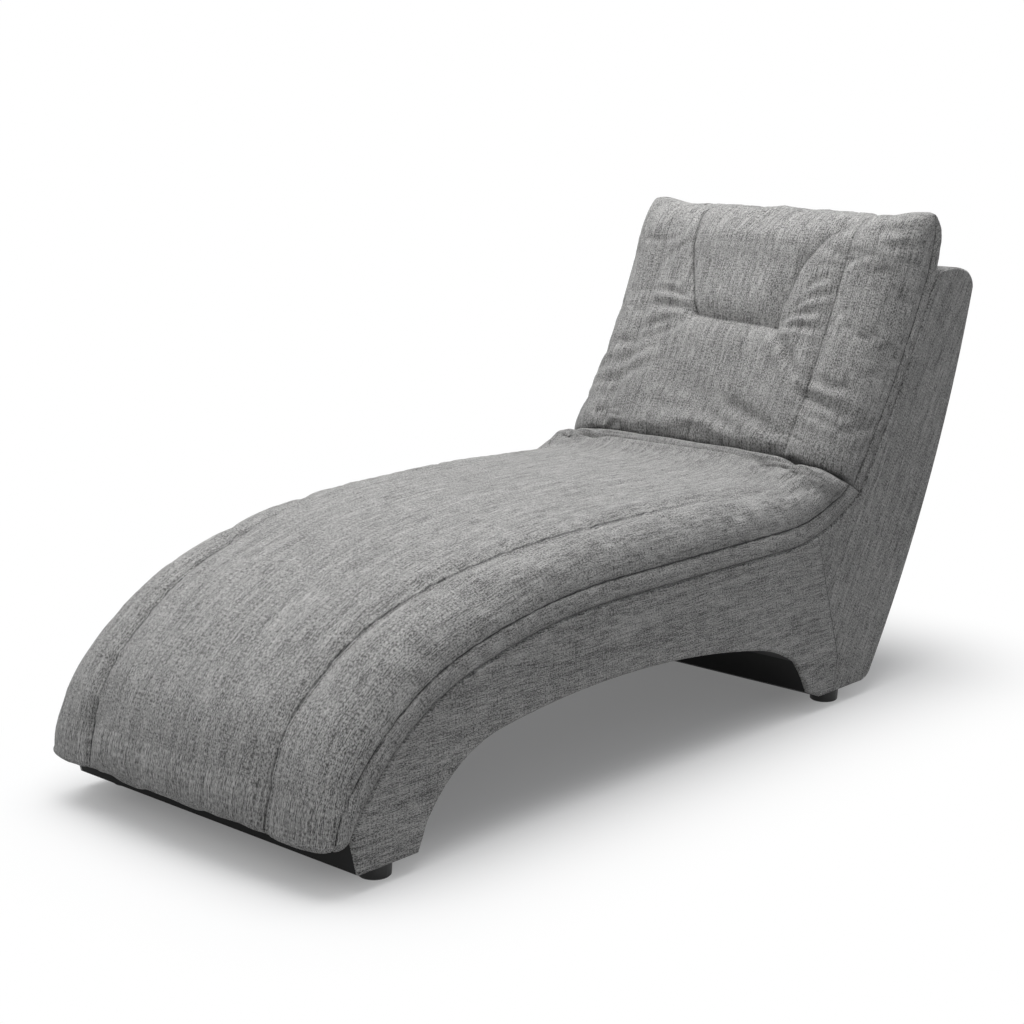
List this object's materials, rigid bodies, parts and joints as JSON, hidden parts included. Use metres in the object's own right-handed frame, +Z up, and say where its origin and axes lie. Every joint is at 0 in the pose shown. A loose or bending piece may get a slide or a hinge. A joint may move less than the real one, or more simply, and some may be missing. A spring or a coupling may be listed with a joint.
{
  "type": "chaise longue",
  "caption": "Upholstered chaise longue with an arched base, a long wrapped seat cushion and a raised back cushion with a sewn head panel.",
  "frame": {"origin": "on the floor under the middle of the whole", "axes": "+X to the right of a person who lies on it, +Y towards the head end, +Z up"},
  "size_m": [0.66, 1.685, 0.8735],
  "materials": {
    "cushion_weave": "heathered matt weave",
    "side_weave": "heathered matt weave",
    "black_cloth": "thin black cloth",
    "felt": "pressed felt",
    "foam": "open-cell foam",
    "foot_plastic": "moulded black plastic",
    "steel": "zinc plated",
    "spring_steel": "oiled spring wire",
    "webbing": "elastic webbing",
    "hardwood": "planed",
    "plywood": "sanded"
  },
  "bodies": {
    "root": {"arch_lining": "black_cloth", "arch_rail_front": "plywood", "arch_rail_rear": "plywood", "back_cover": "cushion_weave", "back_foam": "foam", "back_side_board_left": "plywood", "back_side_board_right": "plywood", "back_side_cover_left": "side_weave", "back_side_cover_right": "side_weave", "back_strap_1": "webbing", "back_strap_2": "webbing", "back_strap_3": "webbing", "back_strap_4": "webbing", "base_side_board_left": "plywood", "base_side_board_right": "plywood", "base_side_cover_left": "side_weave", "base_side_cover_right": "side_weave", "corner_block_front_left": "hardwood", "corner_block_front_right": "hardwood", "corner_block_rear_left": "hardwood", "corner_block_rear_right": "hardwood", "foot_studs": "steel", "front_board_cloth": "black_cloth", "front_dust_cloth": "black_cloth", "front_feet": "foot_plastic", "front_leg_board": "plywood", "front_rail": "plywood", "gusset_plate_left": "plywood", "gusset_plate_right": "plywood", "head_rail": "plywood", "lumbar_rail": "plywood", "nose_rail": "plywood", "outer_back_cover": "side_weave", "rear_bottom_rail": "plywood", "rear_dust_cloth": "black_cloth", "rear_feet": "foot_plastic", "rear_leg_board": "plywood", "rear_mid_rail": "plywood", "seat_cover": "cushion_weave", "seat_foam": "foam", "seat_rear_rail": "plywood", "seat_spring_1": "spring_steel", "seat_spring_2": "spring_steel", "seat_spring_3": "spring_steel", "seat_spring_4": "spring_steel", "seat_spring_5": "spring_steel", "seat_spring_6": "spring_steel", "seat_spring_7": "spring_steel", "seat_spring_8": "spring_steel", "shell_cap_rail": "plywood", "spring_clips_left": "steel", "spring_clips_right": "steel", "spring_felt": "felt"}
  },
  "joints": []
}
